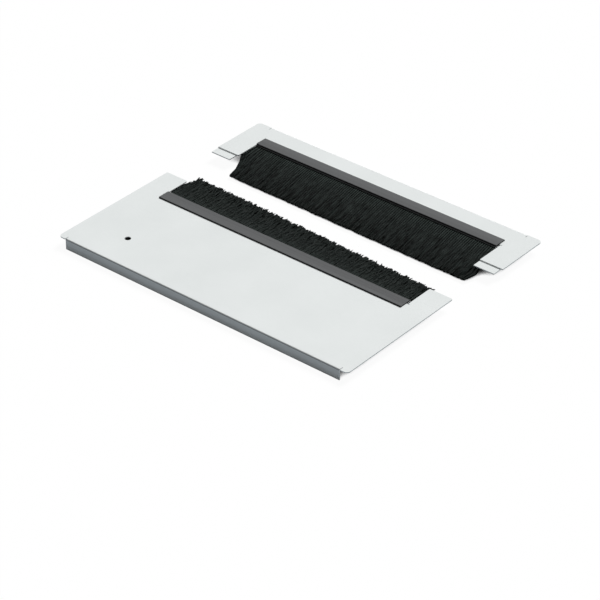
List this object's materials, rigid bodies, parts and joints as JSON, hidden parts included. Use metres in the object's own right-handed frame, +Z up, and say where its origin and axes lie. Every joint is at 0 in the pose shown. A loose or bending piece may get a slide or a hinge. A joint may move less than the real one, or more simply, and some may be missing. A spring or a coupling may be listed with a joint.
{
  "type": "brush cable grommet",
  "caption": "Split brush cable grommet: folded steel plate halves whose notches close round cables, with a strip brush in a push-on holder along each notch's edge.",
  "frame": {"origin": "on the floor that the flanges stand on, below the middle of the pair of halves", "axes": "+X along the brushes, to the right seen from the front; +Y from the deep front half to the shallow rear half; +Z up, out of the plates' top"},
  "size_m": [0.508, 0.407, 0.0186],
  "materials": {
    "plate_steel": "pale cool grey powder coat, fine and satin",
    "holder_plastic": "nearly black extruded plastic, faded to dark grey on top, with faint lines along its length",
    "channel_steel": "black lacquered strip steel, bare at its cut ends",
    "wire_steel": "drawn steel wire",
    "bristle_nylon": "black nylon filaments with a faint grey sheen along them"
  },
  "bodies": {
    "root": {"front_plate": "plate_steel", "front_brush_holder": "holder_plastic", "front_brush_channel": "channel_steel", "front_core_wire": "wire_steel", "front_bristles": "bristle_nylon", "rear_plate": "plate_steel", "rear_brush_holder": "holder_plastic", "rear_brush_channel": "channel_steel", "rear_core_wire": "wire_steel", "rear_bristles": "bristle_nylon"}
  },
  "joints": []
}
